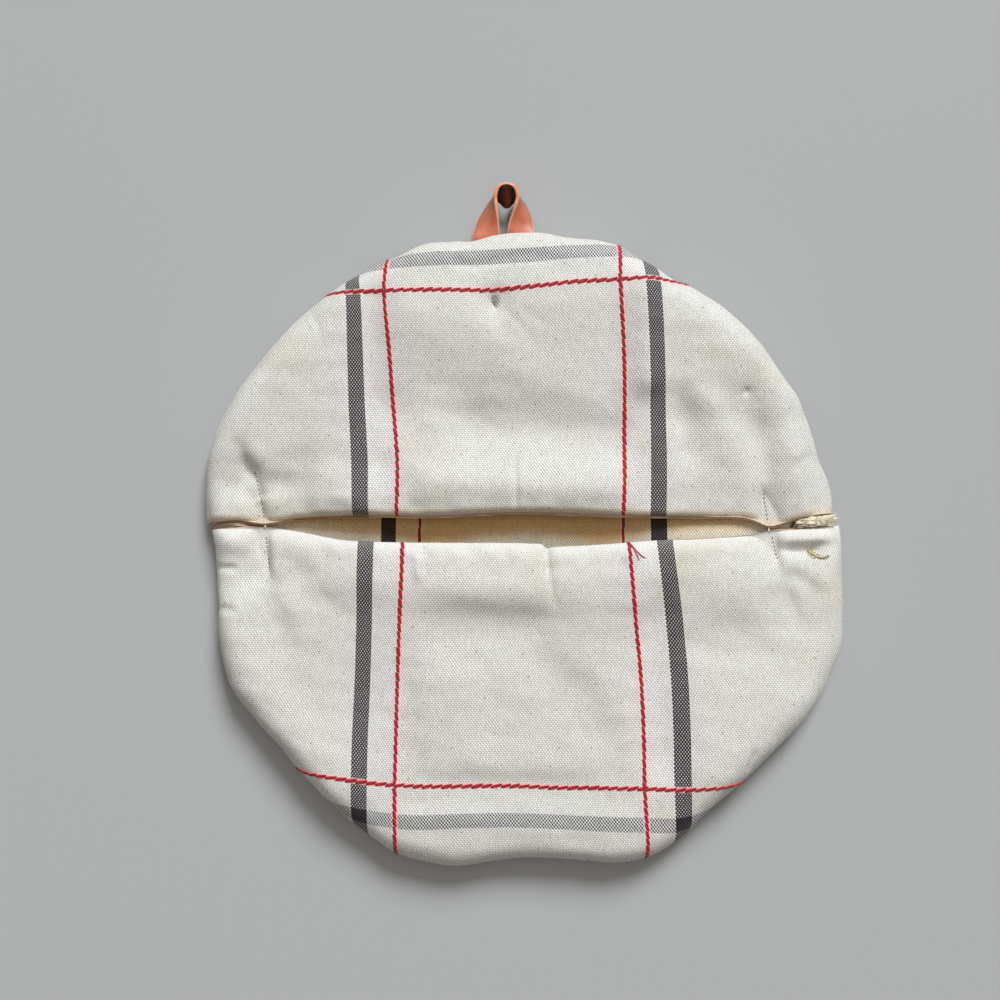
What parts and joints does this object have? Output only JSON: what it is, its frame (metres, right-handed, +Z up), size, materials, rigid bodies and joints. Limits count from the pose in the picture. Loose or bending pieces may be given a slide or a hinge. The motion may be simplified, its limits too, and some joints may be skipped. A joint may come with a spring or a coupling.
{
  "type": "pot holder with hand pockets",
  "caption": "Round padded cotton pot holder: a back with an upper and a lower hand pocket either side of a slot, and a leather hanging loop.",
  "frame": {"origin": "on the flat underside, below the middle of the slot between the two pockets", "axes": "+Z up from the surface it lies on, +Y across the slot towards the hanging loop, +X along the slot"},
  "size_m": [0.2, 0.2137, 0.021],
  "materials": {
    "back_cotton": "plain-woven cream cotton with a window check of charcoal stripes and red lines",
    "upper_pocket_cotton": "plain-woven cream cotton with a window check of charcoal stripes and red lines",
    "lower_pocket_cotton": "plain-woven cream cotton with a window check of charcoal stripes and red lines",
    "facing_cotton": "turned-in cotton edge, tan",
    "tan_leather": "smooth tan leather strip with pale cut edges and a dark, rough back",
    "wadding": "loose cream wadding"
  },
  "bodies": {
    "root": {"back_pad": "back_cotton", "upper_pocket": "upper_pocket_cotton", "lower_pocket": "lower_pocket_cotton", "upper_facing": "facing_cotton", "lower_facing": "facing_cotton", "hanging_loop": "tan_leather", "wadding_tuft": "wadding"}
  },
  "joints": []
}
